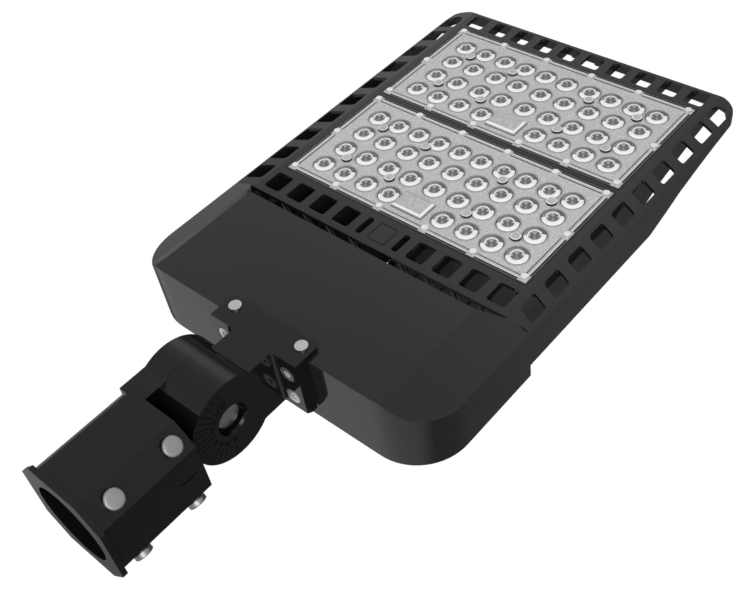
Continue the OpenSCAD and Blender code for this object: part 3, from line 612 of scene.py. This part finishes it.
# radius, place along Y and shift along that direction, from the foot to the top of the bell
optic_rings = [(0.0108, foot, 0), (0.0108, plate_front - 0.00002, 0),
               (0.0096, plate_front - 0.00004, -0.0001), (0.0088, plate_front - 0.00006, 0),
               (0.0083, plate_front - 0.0008, 0), (0.0074, plate_front - 0.00125, 0),
               (0.0066, plate_front - 0.0014, 0), (0.0056, plate_front - 0.0012, 0),
               (0.0050, plate_front - 0.0009, 0), (0.0045, plate_front - 0.0008, 0),
               (0.0042, plate_front - 0.0013, 0), (0.0034, plate_front - 0.0020, 0),
               (0.0024, plate_front - 0.0025, 0), (0.0012, plate_front - 0.0028, 0),
               (0.0004, plate_front - 0.0029, 0)]
peg_rings = [(0.0046, foot, 0), (0.0046, plate_front - 0.0012, 0),
             (0.0041, plate_front - 0.0017, 0), (0.0034, plate_front - 0.0018, 0),
             (0.0020, plate_front - 0.0018, 0)]

# where the painted highlights and shades of an optic change, in radians from the bright
# direction: first the middle and half width of the painted dark arcs at the ring's foot
dark_arcs = ((-1.62, 0.42), (1.35, 0.24))
foot_deep_from = 1.5
ring_bright_to = 1.6
ring_shade_from = 2.7
dip_bright_from = 1.4
bell_cap_from = 2.5
bell_cap_from_high = 2.0
bell_glint = (1.3, 1.6)
bell_shade_to = 0.25
# where the painted shade on a peg's wall and bevel ends
peg_wall_dark_to = 1.6
peg_bevel_dark_to = 1.3


def optic_zones(band, turn):
    """Finish of a band by its angle, mostly painted highlight and shade: foot, ring (bands 2 to 6), the
    dip, then the bell.
    """
    side = abs(turn)
    # band 0 keeps the web's own tone; band 1 is a ring of painted shade round the foot
    if band < 2:
        return WEB if band == 0 else PAINTED_FOOT_SHADING
    if band == 2:
        if any(abs(turn - middle) < half for middle, half in dark_arcs):
            return PAINTED_BLACK_SHADING
        return PAINTED_HEAVY_SHADING if side > foot_deep_from else PAINTED_SHADING
    if band <= 6:
        if side < ring_bright_to:
            return PAINTED_HIGHLIGHT
        return PAINTED_SHADING if turn < 0 or side > ring_shade_from else PAINTED_HEAVY_SHADING
    if band == 7:
        return PAINTED_HIGHLIGHT
    if band == 8:
        return PAINTED_HIGHLIGHT if side > dip_bright_from else PAINTED_HEAVY_SHADING
    # the bell: a paler painted tone on its far side and top, a painted glint, and painted shade
    if band <= 12:
        if side > bell_cap_from or (side > bell_cap_from_high and band > 9):
            return CAP
        if band == 10 and bell_glint[0] < side < bell_glint[1]:
            return PAINTED_HIGHLIGHT
        return PAINTED_SHADING if side < bell_shade_to else PAINTED_HEAVY_SHADING
    return CAP


def peg_zones(band, turn):
    """Finish of a peg by its angle: painted shade on its wall and bevel on the bright side, a painted
    highlight on its rim.
    """
    side = abs(turn)
    if band == 0:
        return PAINTED_BLACK_SHADING if side < peg_wall_dark_to else PAINTED_SHADING
    if band == 1:
        return PAINTED_BLACK_SHADING if side < peg_bevel_dark_to else RIM
    return PAINTED_HIGHLIGHT if band == 2 else RIM


def lathe(mesh, across, along, rings, zones):
    """Closed body of revolution about -Y; zones gives the finish of each band by its angle."""
    loops = []
    for radius, place, shift in rings:
        loops.append([mesh.verts.new((across + radius * math.cos(a) + shift * math.cos(bright_way),
                                      place,
                                      along + radius * math.sin(a) + shift * math.sin(bright_way)))
                      for a in [2 * math.pi * k / optic_sides for k in range(optic_sides)]])
    for face, band, k in skin(mesh, loops):
        turn = 2 * math.pi * (k + 0.5) / optic_sides - bright_way
        face.material_index = zones(band, (turn + math.pi) % (2 * math.pi) - math.pi)
        face.smooth = True
    mesh.faces.new(loops[0][::-1]).material_index = WEB
    mesh.faces.new(loops[-1]).material_index = zones(len(loops) - 1, 0)


def rounded_block(mesh, low, high, finish, soft, soft_finishes=None):
    """A box with its front edges (towards -Y) bevelled, which may have finishes of their own."""
    (x0, y0, z0), (x1, y1, z1) = low, high
    loops = []
    for inset, y in ((0, y1), (0, y0 + soft), (soft, y0)):
        corners = ((x0 + inset, y, z0 + inset), (x1 - inset, y, z0 + inset),
                   (x1 - inset, y, z1 - inset), (x0 + inset, y, z1 - inset))
        loops.append([mesh.verts.new(corner) for corner in corners])
    for face, band, k in skin(mesh, loops):
        face.material_index = soft_finishes[k] if soft_finishes and band else finish
    mesh.faces.new(loops[0][::-1]).material_index = finish
    mesh.faces.new(loops[2]).material_index = finish


def edge_bars(start, end, width):
    """Corners in (x, z) of the four bars that make a frame along the plate's edge."""
    return (((-module_half, start), (module_half, start + width)),
            ((-module_half, end - width), (module_half, end)),
            ((-module_half, start + width), (-module_half + width, end - width)),
            ((module_half - width, start + width), (module_half, end - width)))


for module, start in module_starts.items():
    mesh = bmesh.new()
    end = start + module_len
    middle = start + module_len / 2
    rounded_block(mesh, (-module_half + rim_width, plate_front, start + rim_width),
                  (module_half - rim_width, plate_back, end - rim_width), WEB, web_soft)
    # rim, raised by a hair over the web, in four bars
    for low, high in edge_bars(start, end, rim_width):
        rounded_block(mesh, (low[0], rim_front, low[1]), (high[0], seat_back, high[1]), RIM, rim_soft)
    for row, along in optic_rows:
        for share in row:
            lathe(mesh, share * module_half, start + along * module_len, optic_rings, optic_zones)
    for x, z in peg_shares:
        lathe(mesh, x * module_half, start + z * module_len, peg_rings, peg_zones)
    # a line of painted shade round the foot of the plug cover
    rounded_block(mesh, (plug_left - plug_shading_line, plug_line_front, start + plug_low - plug_shading_line),
                  (plug_right + plug_shading_line, foot, start + plug_high + plug_shading_line), PAINTED_HEAVY_SHADING, plug_line_soft)
    # the cover's chamfer has a painted highlight on its near and right sides, painted shade on its far
    # and left sides
    rounded_block(mesh, (plug_left, plug_front, start + plug_low),
                  (plug_right, foot, start + plug_high), RIM, plug_chamfer,
                  (PAINTED_HIGHLIGHT, PAINTED_HIGHLIGHT, PAINTED_SHADING, PAINTED_SHADING))
    # painted lines along the long edges, broken at the screws
    screws = [share * module_half for share in screw_shares]
    for edge, way in ((start, 1), (end, -1)):
        for left, right in zip(screws, screws[1:]):
            for depth, width, finish in rim_painted_lines:
                line = edge + way * depth
                rounded_block(mesh, (left + line_short, line_front, line - width / 2),
                              (right - line_short, line_back, line + width / 2), finish, line_soft)
    for low, high in edge_bars(start, end, lip_width):
        rounded_block(mesh, (low[0], line_front, low[1]), (high[0], lip_back, high[1]), PAINTED_BLACK_SHADING, line_soft)
    # and along the short edges, broken at the middle screw
    for way in (-1, 1):
        for z0, z1 in ((start + end_line_short, middle - middle_line_short),
                       (middle + middle_line_short, end - end_line_short)):
            for depth, width, finish in rim_painted_lines:
                line = way * (module_half - depth)
                rounded_block(mesh, (line - width / 2, line_front, z0),
                              (line + width / 2, line_back, z1), finish, line_soft)
    plate = make_piece(module + "_plate", mesh, *plate_finishes)
    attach(plate, "head")
    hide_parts(module + "_lens")
